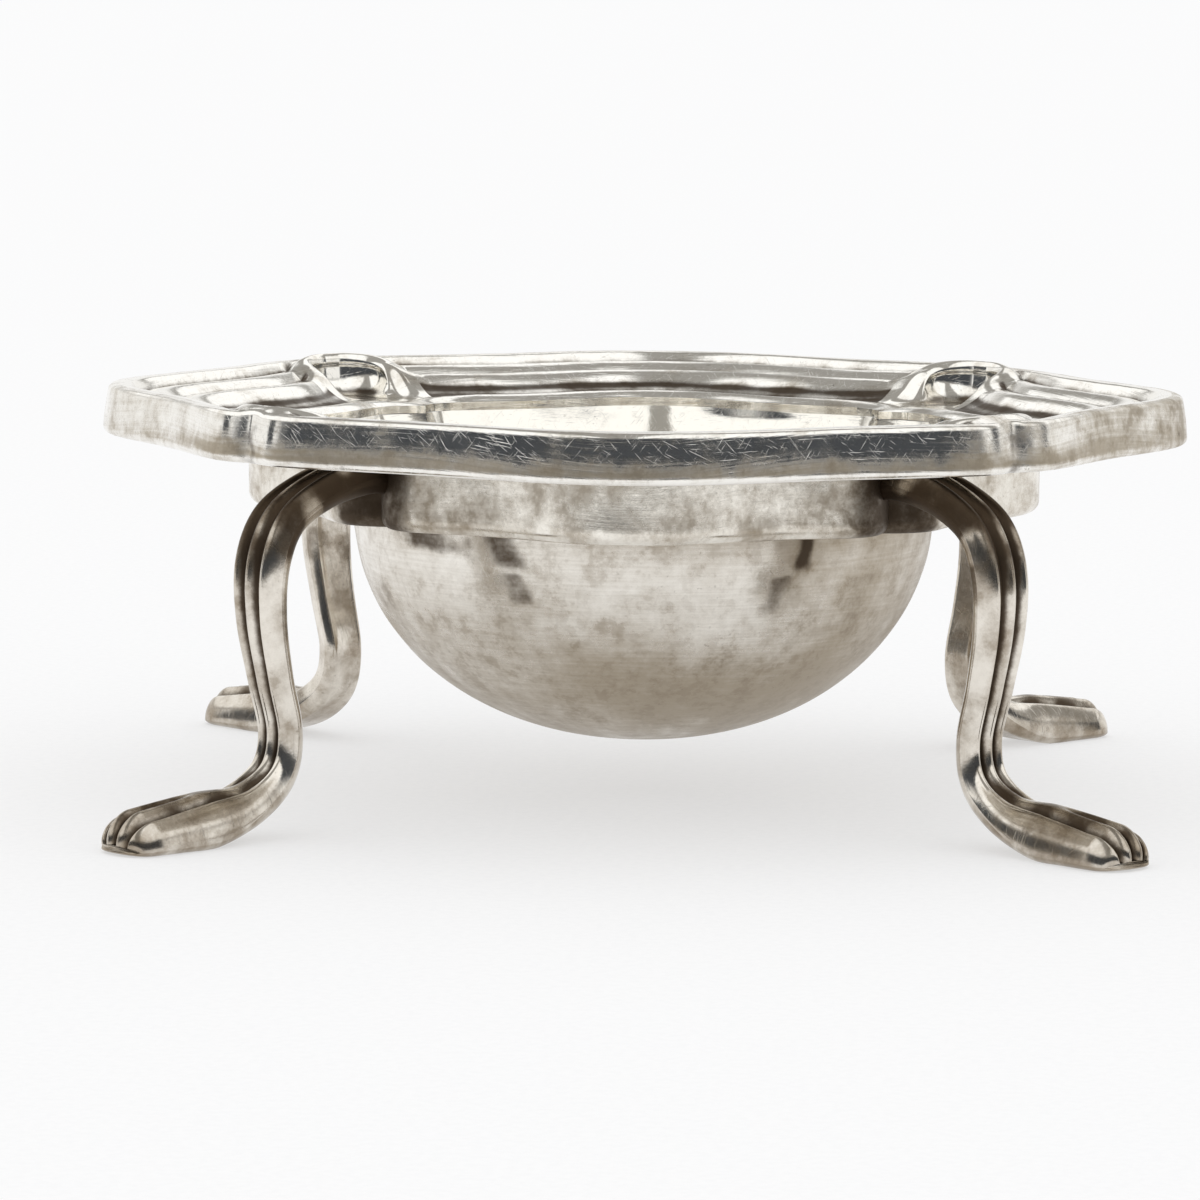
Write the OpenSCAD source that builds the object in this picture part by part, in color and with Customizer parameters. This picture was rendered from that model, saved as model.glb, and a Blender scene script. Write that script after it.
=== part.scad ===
// Open salt cellar: a round-bottomed well in a lobed collar, a reeded border of pie-crust outline
// with a shell at each corner, and four reeded cabriole legs with paw feet.
// Millimetres. +Z is up and the feet stand on z = 0. The front side faces -Y, and the well's axis
// is the Z axis. Angles are azimuths in degrees: the sides lie at 0, 90, 180 and 270, and the
// corners halfway between them.

/* [Rim] */
// Height of the rim's top above the table
height = 28.6; // [27.6:0.1:30]
// Width over the rim, across the lobes of two opposite sides
rim_w = 76.4; // [75:0.2:78]
// Depth of the dips on either side of each lobe
rim_dip = 2.8; // [2:0.1:3.2]
// How much nearer the middle the corners lie than the lobes
corner_drop = 1.6; // [1:0.1:2.2]
// Depth of the notch in the rim's edge at each corner
notch_depth = 0.8; // [0.5:0.1:1.2]
// Width of the moulded border, from the edge to the lip of the well
border_w = 11.1; // [10.6:0.1:11.6]
// Height of the rim's outer edge
edge_h = 3.4; // [3.2:0.1:3.8]
// Radius of the roundings along the outer edge
edge_round = 0.45; // [0.3:0.05:0.6]
// How far the wall of the outer edge leans in at its top
edge_lean = 0.3; // [0.1:0.05:0.5]
// Drop from the rim's top to the lip of the well
lip_drop = 2.8; // [2.4:0.1:3]

/* [Shells] */
// Width of a corner shell at its outer end
shell_w = 11.2; // [10.4:0.1:11.8]
// Width of a corner shell at the lip of the well
shell_tip_w = 6.6; // [6:0.1:7]
// Width of the rim's edge that runs past the outside of a shell
shell_margin = 1.2; // [1:0.1:1.6]
// Height of a shell's rolled hood over the rim's top
shell_rise = 0.5; // [0.3:0.1:0.9]

/* [Well] */
// Height of the collar below the rim
collar_h = 5; // [4.6:0.1:5.4]
// Thickness of the collar
collar_t = 0.8; // [0.7:0.1:1]
// Radius of the collar's lower edge
collar_round = 0.9; // [0.6:0.1:1.2]
// Depth of the collar's cusp at each corner
cusp_depth = 2; // [1.6:0.1:2.2]
// Width of the ledge between the well's wall and the bowl's mouth, where it is narrowest
ledge_w = 3.6; // [2.8:0.1:4.4]
// Depth of the bowl, outside, from the top of the collar's ledge
bowl_depth = 17.1; // [15.6:0.1:18]
// Thickness of the bowl
bowl_t = 0.9; // [0.7:0.1:1.1]
// Clearance in a soldered seat
solder_gap = 0.03; // [0.01:0.01:0.05]

/* [Legs] */
// Distance from the axis to the tip of each paw
toe_reach = 47.4; // [46.4:0.2:49]
// Width of a leg where it is widest
leg_w = 4.3; // [3.9:0.1:4.7]
// Thickness of a leg at its knee
leg_t = 2.6; // [2.3:0.1:2.9]
// Width of a paw
paw_w = 5.2; // [4.8:0.1:5.6]
// Height of a paw over its toes
paw_h = 3.9; // [3.5:0.1:4.2]
// Depth of the two grooves down the front of a leg
reed_depth = 0.5; // [0.3:0.05:0.6]
// Depth of the grooves between the toes
toe_depth = 0.6; // [0.4:0.05:0.7]

/* [Hidden] */

// Overrun of every cut past the faces that it opens
overrun = 1;

// Levels
under_z = height - edge_h;
collar_z = under_z - collar_h;
ledge_z = collar_z + collar_t;

// Plan of the rim: a mean radius with a four-fold and an eight-fold swell
side_swell = corner_drop/2;
lobe_swell = (rim_dip - side_swell)/2;
rim_mid_r = rim_w/2 - side_swell - lobe_swell;
// The smallest distance from the axis to the wall of the well, at the dips beside the lobes, and
// the bowl's outside diameter at its mouth, a ledge further in
well_r = rim_mid_r - lobe_swell - side_swell*side_swell/(8*lobe_swell) - border_w;
bowl_d = 2*(well_r - ledge_w);
// Angles over which the notch and the cusp die away, on each side of a corner
notch_span = 4;
cusp_span = 10;
// Spans along one side of the rim and of the collar. The rim has a station on either side of the
// corner, where it is cut off, and on either side of a shell's side, at these shares of the angle
// from the corner to that side. The spans beyond them are even.
rim_spans = 20;
collar_spans = 22;
corner_station_shares = [-0.06, 0.06, 0.3, 0.75, 1.3];

// The moulding's members, from the edge to the lip. Each runs from a start to an end share of the
// border's width, and from a start to an end share of the drop. It is crowned by a share of the
// drop and takes a number of steps.
MEMBER_SHARES = [
    // The flat land along the edge
    [0, 0.12, 0, 0.01, 0.02, 2],
    // The steep inner wall of the land
    [0.12, 0.17, 0.01, 0.31, 0, 1],
    // The second reed
    [0.17, 0.4, 0.31, 0.47, 0.16, 4],
    // The third reed
    [0.4, 0.63, 0.47, 0.71, 0.18, 4],
    // The cavetto
    [0.63, 0.83, 0.71, 0.96, -0.04, 3],
    // The rolled lip of the well
    [0.83, 1, 0.96, 1, 0.15, 4]
];
// How far the reeds draw out towards the edge next to a shell, as a share of the border's width
gather_share = 0.2;
gather_span = 22;

// A shell's rolled hood is a horseshoe in plan, open to the well. These are shares of the shell's
// length or half width: the horseshoe's middle, the lengths of its bend and of its arms, its half
// width, and its roll's width.
hood_middle_share = 0.22;
hood_length_share = 0.18;
hood_arm_share = 0.45;
hood_width_share = 0.8;
hood_roll_share = 0.32;
// Level of the shell's flanks and of the hollow in its hood, where they meet the lip of the well,
// and how far the lip stands over them, as shares of the drop
floor_share = 0.95;
lip_crown_share = 0.15;
// Where the lip starts, as a share of the shell's length
lip_start_share = 0.82;
// How far a shell falls off from its middle to its sides, as a share of the drop
side_fall_share = 0.06;
// Steps along the shell's outline, on each long side and on each end
shell_rows = 9;
shell_columns = 10;
// Where rings of points lie between the horseshoe's middle and its crest, the furthest that the
// crest may lie along a ray from that middle to the outline, and the steps from there outwards
hood_ring_shares = [0.35, 0.65, 0.8, 0.91, 1];
hood_crest_share = 0.84;
hood_skirt_steps = 3;
// How far the cut for a shell runs past the lip, as a share of the shell's length
seat_past_share = 0.2;

// Centre line and size of a leg, from the collar to the toes. Each row holds a share of the reach
// from the collar to the toe, a share of the height under the rim, half the thickness and the whole
// width as shares of the strap's or the paw's, and how far the strap has turned into a paw.
LEG_SHARES = [
    [0, 0.95, 0.48, 0.95, 0],
    [0.14, 0.95, 0.48, 0.95, 0],
    [0.29, 0.915, 0.46, 0.97, 0],
    [0.415, 0.845, 0.46, 1, 0],
    [0.472, 0.73, 0.46, 1, 0],
    [0.475, 0.585, 0.43, 0.93, 0],
    [0.442, 0.425, 0.4, 0.83, 0],
    [0.405, 0.28, 0.4, 0.78, 0],
    [0.432, 0.17, 0.42, 0.81, 0.05],
    [0.54, 0.102, 0.42, 0.91, 0.4],
    [0.7, 0.074, 0.49, 0.97, 0.9],
    [0.84, 0.064, 0.42, 1, 1],
    [0.93, 0.051, 0.335, 0.97, 1],
    [0.975, 0.038, 0.25, 0.87, 1],
    [1, 0.026, 0.13, 0.68, 1]
];
leg_stations = 34;
// Row from which the stations are even, clear of the collar's wall
leg_clear_row = 0.8;
// Points across the reeded face of a leg, as steps of its half width
face_steps = 6;
// How far the face falls off towards its edges, as a share of the thickness, on a strap and a paw
strap_fall_share = 0.1;
paw_fall_share = 0.3;
// The flat back of the strap, as a share of its width, and the level of the strap's side edges as
// a share of its half thickness
back_share = 0.72;
side_share = 0.35;

// Steps along the bowl's curve, and how full the curve is: 2 is an ellipse
bowl_steps = 26;
fullness = 2.12;

// A point from its distance to the axis, azimuth and height
function polar(r, a, z) = [r*cos(a), r*sin(a), z];

// Angle from a direction to the axis of the side that it lies on, from -45 to 45
function side_angle(a) = a - 90*round(a/90);

// Runs from 0, at a span away from the nearest corner, to 1 at the corner
function near_corner(a, span) = max(0, 1 - (45 - abs(side_angle(a)))/span);

// The smooth lobed curve that the edge, the lip and the collar all follow
function lobed_r(a) = rim_mid_r + side_swell*cos(4*a) + lobe_swell*cos(8*a);

// Plan of the rim's edge, notched at the corners, and of the lip of the well, cusped there
function edge_r(a) = lobed_r(a) - notch_depth*pow(near_corner(a, notch_span), 2);
function lip_r(a) = lobed_r(a) - border_w - cusp_depth*pow(near_corner(a, cusp_span), 2);

// Azimuths along one side, closer together towards its corners
function side_stations(middle, spans) = [
    for (i = [0:spans])
        let (t = 2*i/spans - 1)
        middle + 45*sign(t)*(1 - pow(1 - abs(t), 1.3))
];

// Azimuths along one side of the rim, which run past its corners
function rim_stations(middle) =
    let (
        beside = [for (share = corner_station_shares) 45 - share*shell_angle],
        last = len(beside) - 1
    )
    concat(
        [for (i = [0:last - 1]) middle - beside[i]],
        [for (i = [0:rim_spans]) middle + beside[last]*(2*i/rim_spans - 1)],
        [for (i = [last - 1:-1:0]) middle + beside[i]]
    );

// Side faces of a skin over rings of n points each, and the faces of its two ends
function skin_sides(rings, n, closed) = [
    for (i = [0:rings - (closed ? 1 : 2)])
        let (j = (i + 1) % rings)
        for (k = [0:n - 1])
            let (m = (k + 1) % n)
            each [[i*n + k, i*n + m, j*n + m], [i*n + k, j*n + m, j*n + k]]
];
function skin_ends(rings, n) = [
    [for (k = [n - 1:-1:0]) k],
    [for (k = [0:n - 1]) (rings - 1)*n + k]
];

// A solid skinned over rings of points
module skin(rings, closed = false) {
    n = len(rings[0]);
    points = [for (ring = rings) each ring];
    faces = concat(skin_sides(len(rings), n, closed), closed ? [] : skin_ends(len(rings), n));
    polyhedron(points = points, faces = faces, convexity = 10);
}

// Where a share of the border's width lands next to a corner, where the reeds draw outwards
function gathered(u, a) =
    u - gather_share*sin(180*u)*pow(near_corner(a, gather_span), 2);

// Section of the border at an azimuth, as radius and height, starting under the outer edge
function border_section(a) =
    let (foot = edge_r(a) - edge_round, land = foot - edge_lean, lip = lip_r(a))
    concat(
        [for (t = [0, 45, 90]) [foot + edge_round*sin(t), under_z + edge_round*(1 - cos(t))]],
        [for (t = [0, 45]) [land + edge_round*cos(t), height - edge_round*(1 - sin(t))]],
        [
            for (m = MEMBER_SHARES)
                for (i = [0:m[5] - 1])
                    let (
                        t = i/m[5],
                        u = gathered(m[0] + (m[1] - m[0])*t, a),
                        drop = m[2] + (m[3] - m[2])*t - m[4]*sin(180*t)
                    )
                    [land - (land - lip)*u, height - lip_drop*drop]
        ],
        [[lip, height - lip_drop], [lip, under_z]]
    );

// The space inside the lip's plan curve, moved out by so much, over the height of rim and collar
module well_space(out) {
    translate([0, 0, collar_z - overrun])
        linear_extrude(height = height - collar_z + 2*overrun)
            polygon([
                for (side = [0:90:270])
                    for (i = [0:collar_spans - 1])
                        let (a = side_stations(side, collar_spans)[i], r = lip_r(a) + out)
                        [r*cos(a), r*sin(a)]
            ]);
}

// Distance from the axis to the outer end of a corner shell, and the angles from the corner to its
// sides at that end and at the lip
shell_out = edge_r(45) - shell_margin;
shell_angle = atan(shell_w/2/shell_out);
shell_tip_angle = atan(shell_tip_w/2/lip_r(45));

// Plan point of a shell that lies along +X. u runs from 0 at its outer end to 1 at the lip of the
// well, and v across it from -1 to 1.
function shell_point(u, v) =
    let (
        out = [shell_out, v*shell_w/2],
        off = v*shell_tip_angle,
        lip = lip_r(45 + off)*[cos(off), sin(off)]
    )
    out + (lip - out)*u;

// The ground that a shell covers, as an outline that runs past the lip of the well
module shell_seat() {
    past = 1 + seat_past_share;
    translate([0, 0, under_z - overrun])
        linear_extrude(height = edge_h + 2*overrun)
            polygon([
                shell_point(0, -1), shell_point(0, 1), shell_point(past, 1), shell_point(past, -1)
            ]);
}

// Eases from 0 to 1 as x runs from 0 to 1
function ease(x) = (1 - cos(180*max(0, min(1, x))))/2;

// Drop of a shell's flanks below the rim's top, as a share of the lip's drop, and of its lip
function flank_drop(u) = floor_share*pow(min(1, u/lip_start_share), 1.5);
function lip_rise(u) =
    lip_crown_share*sin(180*max(0, min(1, (u - lip_start_share)/(1 - lip_start_share))));

// Distance from the middle of a shell's horseshoe: 1 on its crest, which bends round towards the
// outer end and runs straight towards the well
function hood_ring(u, v) =
    norm([min(0, u - hood_middle_share)/hood_length_share, v/hood_width_share]);

// Height of a shell's top. u runs from its outer to its inner end, v across it from -1 to 1.
function shell_top(u, v) =
    let (
        ring = hood_ring(u, v),
        arms = 1 - ease((u - hood_middle_share)/hood_arm_share),
        inside = ease((1 - ring)/hood_roll_share),
        roll = arms*ease(1 - abs(ring - 1)/hood_roll_share),
        flank = flank_drop(u),
        drop = flank + (floor_share - flank)*inside - lip_rise(u) + side_fall_share*v*v
    )
    height - lip_drop*drop + (shell_rise + lip_drop*drop)*roll*(1 - ease(u)/2);

// The outline of a shell's ground in u and v, counter-clockwise from its outer end
shell_outline = concat(
    [for (j = [0:shell_columns - 1]) [0, 2*j/shell_columns - 1]],
    [for (i = [0:shell_rows - 1]) [i/shell_rows, 1]],
    [for (j = [0:shell_columns - 1]) [1, 1 - 2*j/shell_columns]],
    [for (i = [0:shell_rows - 1]) [1 - i/shell_rows, -1]]
);

// A point of a shell's top on the ray from the horseshoe's middle to a point of the outline. The
// level is 1 on the crest and 2 on the outline.
function hood_point(edge, level) =
    let (
        crest = 1/max(1/hood_crest_share, hood_ring(edge[0], edge[1])),
        s = level <= 1 ? level*crest : crest + (1 - crest)*(level - 1),
        u = hood_middle_share + (edge[0] - hood_middle_share)*s,
        v = edge[1]*s,
        p = shell_point(u, v)
    )
    [p[0], p[1], shell_top(u, v)];

// A corner shell, lying along +X: rings of points round the horseshoe's middle over its top, and
// walls down from its outline to a flat underside
module shell() {
    n = len(shell_outline);
    levels = concat(hood_ring_shares, [for (i = [1:hood_skirt_steps]) 1 + i/hood_skirt_steps]);
    rings = len(levels);
    middle = shell_point(hood_middle_share, 0);
    hubs = [
        for (z = [shell_top(hood_middle_share, 0), under_z])
            [middle[0], middle[1], z]
    ];
    tops = [for (level = levels) for (edge = shell_outline) hood_point(edge, level)];
    feet = [for (edge = shell_outline) let (p = shell_point(edge[0], edge[1])) [p[0], p[1], under_z]];
    first = len(hubs);
    last = first + rings*n;
    fans = [
        for (k = [0:n - 1])
            let (m = (k + 1) % n)
            each [[0, first + m, first + k], [1, last + k, last + m]]
    ];
    bands = [
        for (i = [0:rings - 1])
            for (k = [0:n - 1])
                let (a = first + i*n + k, b = first + i*n + (k + 1) % n)
                each [[a, b + n, a + n], [a, b, b + n]]
    ];
    polyhedron(points = concat(hubs, tops, feet), faces = concat(fans, bands), convexity = 10);
}

// The quarter of the space round the axis that holds one side, between the planes of two corners
module quarter(middle) {
    rotate([0, 0, middle])
        translate([0, 0, under_z - overrun])
            linear_extrude(height = edge_h + 2*overrun)
                polygon([[0, 0], [rim_w, -rim_w], [rim_w, rim_w]]);
}

// One side's length of moulding, from corner to corner, cut away for the two shells
module rim_section(middle) {
    difference() {
        intersection() {
            skin([
                for (a = rim_stations(middle))
                    [for (p = border_section(a)) polar(p[0], a, p[1])]
            ]);
            quarter(middle);
        }
        for (corner = [middle - 45, middle + 45])
            rotate([0, 0, corner]) shell_seat();
    }
}

// Section of the collar at an azimuth, as radius and height, starting at the bottom outside
function collar_section(a) =
    let (
        inner = lip_r(a),
        outer = inner + collar_t,
        bend = outer - collar_round,
        bore = bowl_d/2 - overrun
    )
    concat(
        [[bore, collar_z]],
        [
            for (t = [0:30:90])
                [bend + collar_round*sin(t), collar_z + collar_round*(1 - cos(t))]
        ],
        [[outer, under_z], [inner, under_z], [inner, ledge_z], [bore, ledge_z]]
    );

// Point of the bowl's curve, as radius and depth below the mouth. t runs from 0 at the mouth to 90
// under the middle.
function bowl_point(t, r, depth) = [
    r*pow(cos(t), 2/fullness),
    ledge_z - depth*pow(sin(t), 2/fullness)
];

// A value along a list of rows, on a smooth curve through them. s counts rows.
function row_at(rows, i) = rows[max(0, min(len(rows) - 1, i))];
function along(rows, s) =
    let (
        i = min(floor(s), len(rows) - 2),
        f = s - i,
        p = row_at(rows, i - 1),
        q = row_at(rows, i),
        r = row_at(rows, i + 1),
        t = row_at(rows, i + 2)
    )
    q + f/2*((r - p) + f*((2*p - 5*q + 4*r - t) + f*(3*(q - r) + t - p)));

// Where a leg starts, inside the collar's cusp, and its centre line in the plane of its corner
leg_start = lip_r(45);
function leg_centre(row) = [leg_start + (toe_reach - leg_start)*row[0], under_z*row[1]];

// Half thickness and width of a leg: a strap's sizes that turn into a paw's
function leg_half_t(row) = row[2]*(leg_t*(1 - row[4]) + paw_h*row[4]);
function leg_width(row) = row[3]*(leg_w*(1 - row[4]) + paw_w*row[4]);

// Offsets of a leg's section at x, from -1 to 1 across it, above the centre line
function leg_face(row, x) =
    let (
        half = leg_half_t(row),
        paw = row[4],
        fall = 2*half*(strap_fall_share*(1 - paw) + paw_fall_share*paw)*x*x,
        reeds = reed_depth*(1 - paw)*(1 - cos(540*x))/2,
        toes = toe_depth*paw*paw*(1 + cos(720*x))/2
    )
    half - fall - reeds - toes;

// A leg's section as pairs of an across share and an offset, the reeded face first
function leg_section(row) =
    let (half = leg_half_t(row))
    concat(
        [for (i = [-face_steps:face_steps]) [i/face_steps, leg_face(row, i/face_steps)]],
        [[1, -half*side_share], [back_share, -half], [-back_share, -half], [-1, -half*side_share]]
    );

// One ring of points round a leg that lies along +X. A point is kept between the table and the
// underside of the rim.
function leg_ring(s) =
    let (
        row = along(LEG_SHARES, s),
        step = 0.02,
        ahead = leg_centre(along(LEG_SHARES, min(s + step, len(LEG_SHARES) - 1))),
        behind = leg_centre(along(LEG_SHARES, max(s - step, 0))),
        centre = leg_centre(row),
        run = (ahead - behind)/norm(ahead - behind)
    )
    [
        for (p = leg_section(row))
            let (
                off = p[0]*leg_width(row)/2,
                r = centre[0] - run[1]*p[1],
                z = centre[1] + run[0]*p[1]
            )
            [r, off, max(0, min(under_z, z))]
    ];

// A leg, lying along +X from the collar's wall, which trims it, to its toes
module leg(corner) {
    clear = leg_clear_row;
    last = len(LEG_SHARES) - 1;
    difference() {
        skin([
            leg_ring(0),
            for (i = [0:leg_stations])
                leg_ring(clear + (last - clear)*i/leg_stations)
        ]);
        rotate([0, 0, -corner]) well_space(collar_t + solder_gap);
    }
}

module bowl() {
    r = bowl_d/2 - solder_gap;
    color([0.8, 0.78, 0.74])
        rotate_extrude($fn = 128)
            polygon(concat(
                [for (i = [0:bowl_steps]) bowl_point(90*i/bowl_steps, r, bowl_depth)],
                [
                    for (i = [bowl_steps:-1:0])
                        bowl_point(90*i/bowl_steps, r - bowl_t, bowl_depth - bowl_t)
                ]
            ));
}

module collar() {
    color([0.74, 0.71, 0.66])
        difference() {
            skin(
                [
                    for (side = [0:90:270])
                        for (i = [0:collar_spans - 1])
                            let (a = side_stations(side, collar_spans)[i])
                            [for (p = collar_section(a)) polar(p[0], a, p[1])]
                ],
                closed = true
            );
            translate([0, 0, collar_z - overrun])
                cylinder(h = collar_t + 2*overrun, d = bowl_d, $fn = 128);
        }
}

module rim_right() { color([0.83, 0.82, 0.8]) rim_section(0); }
module rim_back() { color([0.83, 0.82, 0.8]) rim_section(90); }
module rim_left() { color([0.83, 0.82, 0.8]) rim_section(180); }
module rim_front() { color([0.83, 0.82, 0.8]) rim_section(270); }

module shell_back_right() { color([0.78, 0.76, 0.73]) rotate([0, 0, 45]) shell(); }
module shell_back_left() { color([0.78, 0.76, 0.73]) rotate([0, 0, 135]) shell(); }
module shell_front_left() { color([0.78, 0.76, 0.73]) rotate([0, 0, 225]) shell(); }
module shell_front_right() { color([0.78, 0.76, 0.73]) rotate([0, 0, 315]) shell(); }

module leg_back_right() { color([0.7, 0.67, 0.62]) rotate([0, 0, 45]) leg(45); }
module leg_back_left() { color([0.7, 0.67, 0.62]) rotate([0, 0, 135]) leg(135); }
module leg_front_left() { color([0.7, 0.67, 0.62]) rotate([0, 0, 225]) leg(225); }
module leg_front_right() { color([0.7, 0.67, 0.62]) rotate([0, 0, 315]) leg(315); }

bowl();
collar();
rim_front();
rim_right();
rim_back();
rim_left();
shell_front_left();
shell_front_right();
shell_back_left();
shell_back_right();
leg_front_left();
leg_front_right();
leg_back_left();
leg_back_right();
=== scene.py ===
"""Looks of an open silver salt cellar: finer meshes over the CAD frame, aged silver and a studio.

Sizes are millimetres until a mesh is made. Azimuths are degrees, with the front at -Y. A corner's
own frame has the corner along +X. Each vertex carries a grime and a film value from 0 to 1: how
much brown dirt lies on it, and how much warm tarnish. Both also carry painted shade and painted
reflection: shade up under the rim on the legs, the bowl darkening towards its bottom, and the
table's tan reflection low on the front of the rim.
"""

import math

import bmesh
import bpy
import numpy as np
from mathutils import Matrix


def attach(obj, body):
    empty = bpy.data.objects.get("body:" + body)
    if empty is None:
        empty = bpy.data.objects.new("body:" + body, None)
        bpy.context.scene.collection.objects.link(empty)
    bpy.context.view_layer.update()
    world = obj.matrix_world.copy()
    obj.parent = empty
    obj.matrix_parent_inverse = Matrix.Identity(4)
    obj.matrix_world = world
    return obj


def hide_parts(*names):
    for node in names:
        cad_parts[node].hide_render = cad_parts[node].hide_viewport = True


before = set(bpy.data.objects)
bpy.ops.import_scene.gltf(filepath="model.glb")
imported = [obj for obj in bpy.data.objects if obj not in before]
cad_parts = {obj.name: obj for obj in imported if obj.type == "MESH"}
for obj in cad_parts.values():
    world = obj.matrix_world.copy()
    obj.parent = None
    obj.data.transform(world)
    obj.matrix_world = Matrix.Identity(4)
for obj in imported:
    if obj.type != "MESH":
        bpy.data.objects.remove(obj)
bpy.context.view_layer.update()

MM = 0.001
SEED = 7
SHARP_ANGLE = 50

# Sizes shared with the CAD model
HEIGHT = 28.6
RIM_W = 76.4
RIM_DIP = 2.8
CORNER_DROP = 1.6
NOTCH_DEPTH = 0.9
BORDER_W = 11.1
EDGE_H = 3.4
EDGE_ROUND = 0.45
EDGE_LEAN = 0.3
LIP_DROP = 2.8
SHELL_W = 11.2
SHELL_TIP_W = 6.6
SHELL_MARGIN = 1.2
COLLAR_H = 5.0
COLLAR_T = 0.8
COLLAR_ROUND = 0.9
CUSP_DEPTH = 2.0
LEDGE_W = 3.6
WELL_SWEEP = 2.4
BOWL_DEPTH = 17.1
BOWL_T = 0.9
SOLDER_GAP = 0.03
TOE_REACH = 47.4
LEG_W = 4.3
LEG_T = 2.6
PAW_W = 5.2
PAW_H = 3.9

# Levels and radii that follow from them
UNDER_Z = HEIGHT - EDGE_H
COLLAR_Z = UNDER_Z - COLLAR_H
LEDGE_Z = COLLAR_Z + COLLAR_T
SIDE_SWELL = CORNER_DROP / 2
LOBE_SWELL = (RIM_DIP - SIDE_SWELL) / 2
RIM_MID_R = RIM_W / 2 - SIDE_SWELL - LOBE_SWELL
WELL_R = RIM_MID_R - LOBE_SWELL - SIDE_SWELL**2 / (8 * LOBE_SWELL) - BORDER_W
BOWL_R = WELL_R - LEDGE_W

# Angles beside a corner: of its notch in the edge, of that notch's round bottom, and of its cusp in
# the lip
NOTCH_SPAN = 5.5
NOTCH_ROUND = 0.8
CUSP_SPAN = 10

# Members of the border's moulding: start and end share of the width, start and end share of the
# drop, and crown
MEMBERS = (
    (0, 0.12, 0, 0.01, 0.02),
    (0.12, 0.17, 0.01, 0.31, 0),
    (0.17, 0.4, 0.31, 0.47, 0.17),
    (0.4, 0.63, 0.47, 0.71, 0.19),
    (0.63, 0.83, 0.71, 0.96, -0.05),
    (0.83, 1, 0.96, 1, 0.15),
)
# How far the reeds are drawn outwards at a corner, and from what angle
GATHER = 0.22
GATHER_SPAN = 22
# How much of the reeds goes at a corner, from what angle, and the slope left: its width and drop
FLATTEN = 0.85
FLATTEN_SPAN = 14
PLAIN_SLOPE = ((0, 0.12, 0.8, 1), (0, 0.02, 0.9, 1))
# Grime in the valleys between the reeds: strength, place and half width
VALLEYS = ((1.2, 0.185, 0.03), (1.15, 0.415, 0.03), (1.1, 0.65, 0.034), (0.9, 0.76, 0.07))

# A corner's hood, a horseshoe in plan: its middle's distance from the axis, the reach of its bend,
# its half width, its arms' length, how far it stands over the rim, and the level of its hollow
HOOD_X = 32.3
HOOD_BEND = 2.5
HOOD_HALF = 4.1
HOOD_ARM = 4.4
HOOD_RISE = 0.43
HOLLOW_Z = HEIGHT - 0.95 * LIP_DROP
# Where the hood's inner wall starts and where its crest lies, and how far its back runs outwards,
# in distances from the horseshoe's middle with its centre line at 1
WALL_RING = 0.62
CREST_RING = 0.9
BACK_RING = 0.4
FLUTES = 9
FLUTE_DEPTH = 0.08
# Share of the border's width at which the hollow rises to the lip, and the share that it takes
MOUTH_AT = 0.76
MOUTH_RISE = 0.06

# How much fuller than an ellipse the bowl's profile is: the power of its curve
BOWL_FULLNESS = 2.12
# Runs and stains on the bowl: azimuth from the front, drift on the way down, half width, start and
# length below the collar, strength
BOWL_MARKS = (
    (34, 0, 2.1, 0.1, 3, 0.95),
    (30, -3, 2.9, 2.6, 3.8, 0.62),
    (-27, 3, 4.6, 0.1, 3, 0.66),
    (-25, 3, 3, 2.7, 2.8, 0.6),
    (-36, 4, 3, 0.2, 2.6, 0.35),
    (-47, 5, 9, 0, 2.2, 0.72),
    (3, 0, 5, 0, 0.7, 0.5),
    (18, 0, 9, 0, 0.6, 0.4),
    (-12, 0, 6, 7.6, 3, 0.2),
    (24, 0, 9, 8.5, 3, 0.26),
    (52, -6, 7, 3, 6, 0.3),
    (-66, 4, 5, 4, 8, 0.3),
    (130, 3, 7, 0.5, 6, 0.5),
    (-140, -3, 9, 0.5, 5, 0.5),
)

# A leg's centre line and size: share of the reach, share of the height, half thickness, width, paw
LEG_ROWS = np.array((
    (0, 0.95, 0.48, 0.95, 0),
    (0.14, 0.95, 0.48, 0.95, 0),
    (0.29, 0.915, 0.46, 0.97, 0),
    (0.415, 0.845, 0.46, 1, 0),
    (0.472, 0.73, 0.46, 1, 0),
    (0.475, 0.585, 0.43, 0.93, 0),
    (0.442, 0.425, 0.4, 0.83, 0),
    (0.405, 0.28, 0.4, 0.78, 0),
    (0.432, 0.17, 0.42, 0.81, 0.05),
    (0.54, 0.1, 0.415, 0.91, 0.4),
    (0.69, 0.072, 0.465, 0.97, 0.9),
    (0.82, 0.064, 0.415, 1, 1),
    (0.92, 0.058, 0.375, 1, 1),
    (1, 0.052, 0.34, 0.96, 1),
))
LAST_ROW = len(LEG_ROWS) - 1
# Depth of the grooves between a leg's reeds, and where the middle reed ends across it
REED_DEPTH = 0.6
REED_EDGE = 0.34
# A paw: depth of the toes' grooves, sweep of the outer toes, notches at the tip, radius and lift of
# the nose, and level of the sole in half thicknesses
TOE_DEPTH = 1.2
TOE_SWEEP = 0.75
TOE_NOTCH = 0.5
NOSE_R = 1.9
NOSE_LIFT = 0.3
SOLE_LEVEL = -0.72
# Rows of LEG_ROWS at which a paw's forms set in: the toes' grooves, their spread, the groove in the
# middle, the level run and the outer toes' sweep
TOES_AT = 8.4
SPLIT_AT = 9
MIDDLE_GROOVE_AT = 9.8
LEVEL_AT = 10.2
SWEEP_AT = 10.5

CORNERS = {"back_right": 45, "back_left": 135, "front_left": 225, "front_right": 315}
SIDES = {"right": 0, "back": 90, "left": 180, "front": 270}

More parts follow.
